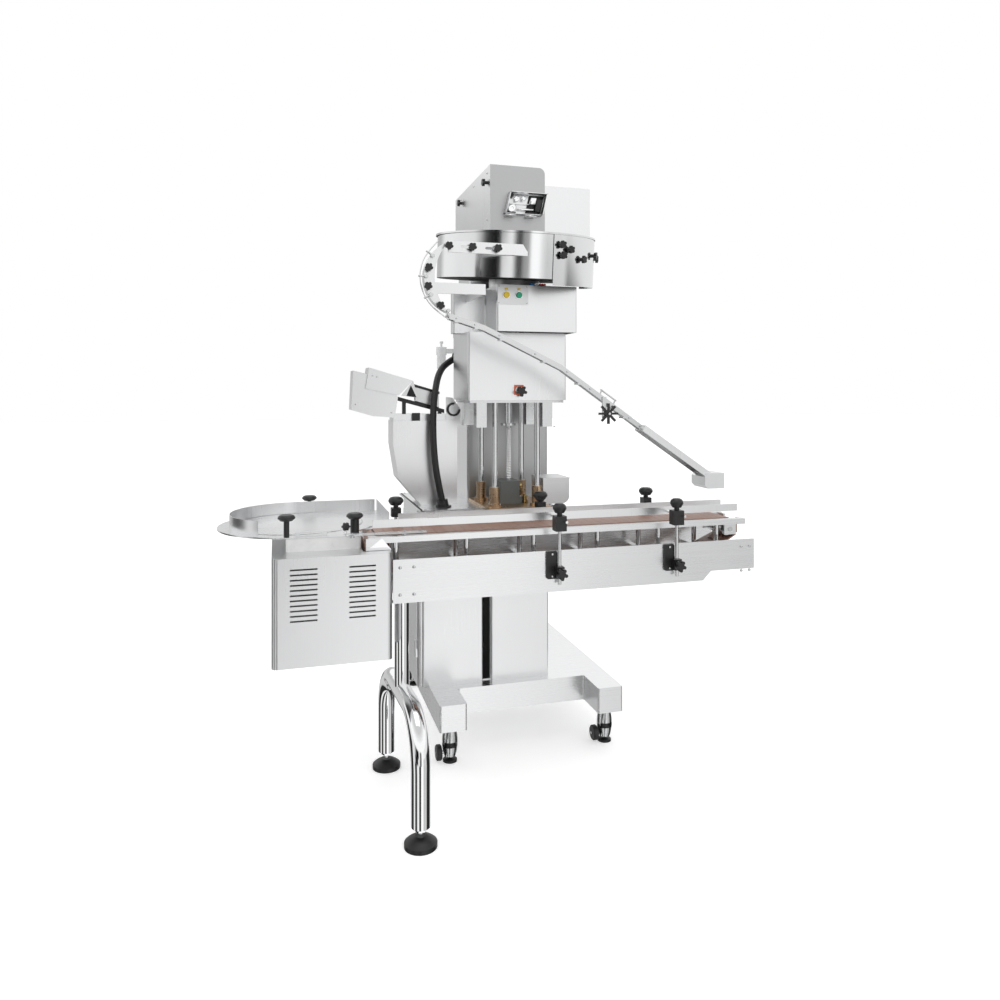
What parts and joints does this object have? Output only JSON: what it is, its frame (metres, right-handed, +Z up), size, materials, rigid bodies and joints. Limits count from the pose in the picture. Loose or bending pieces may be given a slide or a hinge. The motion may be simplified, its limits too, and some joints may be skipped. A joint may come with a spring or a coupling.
{
  "type": "rotary capping machine",
  "caption": "Capping machine with an accumulating turntable, slat conveyor, lifting head on guide posts, tilted cap bowl and inclined cap chute.",
  "frame": {"origin": "centre of the bounding box, on the floor", "axes": "+X along the conveyor away from the turntable, +Y to the machine's back, +Z up"},
  "size_m": [1.676, 1.282, 2.031],
  "materials": {
    "polished_sheet": "bright brushed stainless sheet",
    "satin_sheet": "satin stainless sheet",
    "chrome_bar": "polished chromed bar",
    "steel_parts": "turned and milled steel",
    "bronze": "turned bronze",
    "slats": "matte copper-brown moulded slats",
    "white_strip": "smooth white strip over steel",
    "black_plastic": "black moulded plastic",
    "black_rubber": "black rubber",
    "grey_casting": "dark grey paint on a casting",
    "filter_plastic": "smoky clear and grey plastic",
    "yellow_cap": "yellow plastic",
    "green_cap": "green plastic"
  },
  "bodies": {
    "frame": {"base_frame": "polished_sheet", "castor_housings": "steel_parts", "castor_feet": "black_rubber", "base_column": "polished_sheet", "deck_plate": "satin_sheet", "wear_plate": "bronze", "guide_posts": "chrome_bar", "post_bushes": "bronze", "lift_gearbox": "grey_casting", "mast": "polished_sheet", "sensor_housing": "satin_sheet", "conveyor_frame": "polished_sheet", "conveyor_bed": "steel_parts", "slat_chain": "slats", "stand_tube": "chrome_bar", "stand_feet": "black_rubber", "rear_rail": "white_strip", "rail_clamps": "black_plastic", "drive_cabinet": "polished_sheet", "table_frame": "white_strip", "table_tray": "satin_sheet", "table_fence": "polished_sheet", "feeder_stand": "polished_sheet", "feeder_box": "polished_sheet", "feeder_rail": "black_plastic", "hose": "black_rubber", "hose_glands": "black_plastic", "filter_unit": "filter_plastic", "frame_knobs": "black_plastic"},
    "castor_wheel_front_left": {"castor_wheel_front_left": "black_rubber"},
    "castor_wheel_front_right": {"castor_wheel_front_right": "black_rubber"},
    "castor_wheel_rear_left": {"castor_wheel_rear_left": "black_rubber"},
    "castor_wheel_rear_right": {"castor_wheel_rear_right": "black_rubber"},
    "door": {"side_door": "polished_sheet"},
    "lock": {"door_lock": "steel_parts"},
    "head": {"head_box": "polished_sheet", "head_plate": "steel_parts", "lift_nut": "steel_parts", "upper_housing": "polished_sheet", "control_panel": "satin_sheet", "bowl_shell": "polished_sheet", "bowl_guard": "satin_sheet", "rear_tower": "polished_sheet", "top_box": "polished_sheet", "cap_drop": "polished_sheet", "chute_rails": "steel_parts", "cap_trough": "polished_sheet", "head_knobs": "black_plastic"},
    "height_knob": {"head_knob": "black_plastic"},
    "yellow_button": {"button_yellow": "yellow_cap"},
    "green_button": {"button_green": "green_cap"},
    "bowl_rotor": {"bowl_disc": "steel_parts"},
    "counting_wheel": {"star_wheel": "black_plastic"},
    "screw": {"lead_screw": "steel_parts"},
    "input_shaft": {"gearbox_shaft": "bronze"},
    "rail_posts": {"front_posts": "chrome_bar"},
    "front_guide": {"front_rail": "white_strip"},
    "turntable": {"turntable_disc": "polished_sheet"},
    "idler": {"idler_roller": "steel_parts"},
    "drive": {"drive_roller": "steel_parts"}
  },
  "joints": [
    {"name": "head_lift", "type": "slide", "parent": "frame", "child": "head", "axis": [0, 0, 1], "range_m": [0, 0.08]},
    {"name": "screw_turn", "type": "hinge", "parent": "frame", "child": "screw", "pos_m": [0.139, -0.0275, 0.95], "axis": [0, 0, 1], "range_deg": [-10, 2890]},
    {"name": "input_turn", "type": "hinge", "parent": "frame", "child": "input_shaft", "pos_m": [0.17, -0.0235, 0.905], "axis": [1, 0, 0], "range_deg": [-10, 2890]},
    {"name": "bowl_spin", "type": "hinge", "parent": "head", "child": "bowl_rotor", "pos_m": [0.153, -0.05, 1.641], "axis": [0, -0.1132, 0.9936], "continuous": true},
    {"name": "counting_wheel_spin", "type": "hinge", "parent": "head", "child": "counting_wheel", "pos_m": [0.391, -0.33, 1.172], "axis": [0, 1, 0], "continuous": true},
    {"name": "height_knob_turn", "type": "hinge", "parent": "head", "child": "height_knob", "pos_m": [0.143, -0.16, 1.246], "axis": [0, -1, 0], "range_deg": [-180, 180]},
    {"name": "yellow_press", "type": "slide", "parent": "head", "child": "yellow_button", "axis": [0, 1, 0], "range_m": [0, 0.003], "stiffness_N_per_m": 400, "springref_m": -0.002},
    {"name": "green_press", "type": "slide", "parent": "head", "child": "green_button", "axis": [0, 1, 0], "range_m": [0, 0.003], "stiffness_N_per_m": 400, "springref_m": -0.002},
    {"name": "turntable_spin", "type": "hinge", "parent": "frame", "child": "turntable", "pos_m": [-0.596, -0.158, 0.827], "axis": [0, 0, 1], "continuous": true},
    {"name": "drive_spin", "type": "hinge", "parent": "frame", "child": "drive", "pos_m": [0.79, -0.357, 0.7875], "axis": [0, 1, 0], "continuous": true},
    {"name": "idler_spin", "type": "hinge", "parent": "frame", "child": "idler", "pos_m": [-0.38, -0.357, 0.7875], "axis": [0, 1, 0], "continuous": true},
    {"name": "post_height", "type": "slide", "parent": "frame", "child": "rail_posts", "axis": [0, 0, 1], "range_m": [-0.012, 0.03]},
    {"name": "rail_reach", "type": "slide", "parent": "rail_posts", "child": "front_guide", "axis": [0, 1, 0], "range_m": [-0.02, 0.02]},
    {"name": "door_swing", "type": "hinge", "parent": "frame", "child": "door", "pos_m": [-0.1903, 0.013, 0.5], "axis": [0, 0, 1], "range_deg": [0, 95]},
    {"name": "lock_turn", "type": "hinge", "parent": "door", "child": "lock", "pos_m": [-0.185, 0.287, 0.285], "axis": [-1, 0, 0], "range_deg": [0, 90]},
    {"name": "castor_spin_front_left", "type": "hinge", "parent": "frame", "child": "castor_wheel_front_left", "pos_m": [-0.138, -0.134, 0.032], "axis": [1, 0, 0], "continuous": true},
    {"name": "castor_spin_front_right", "type": "hinge", "parent": "frame", "child": "castor_wheel_front_right", "pos_m": [0.425, -0.134, 0.032], "axis": [1, 0, 0], "continuous": true},
    {"name": "castor_spin_rear_left", "type": "hinge", "parent": "frame", "child": "castor_wheel_rear_left", "pos_m": [-0.138, 0.581, 0.032], "axis": [1, 0, 0], "continuous": true},
    {"name": "castor_spin_rear_right", "type": "hinge", "parent": "frame", "child": "castor_wheel_rear_right", "pos_m": [0.425, 0.581, 0.032], "axis": [1, 0, 0], "continuous": true}
  ],
  "couplings": [
    {"joint": "screw_turn", "follows": "head_lift", "rad_per_m": 628.32},
    {"joint": "input_turn", "follows": "head_lift", "rad_per_m": 628.32},
    {"joint": "idler_spin", "follows": "drive_spin", "ratio": 1}
  ]
}
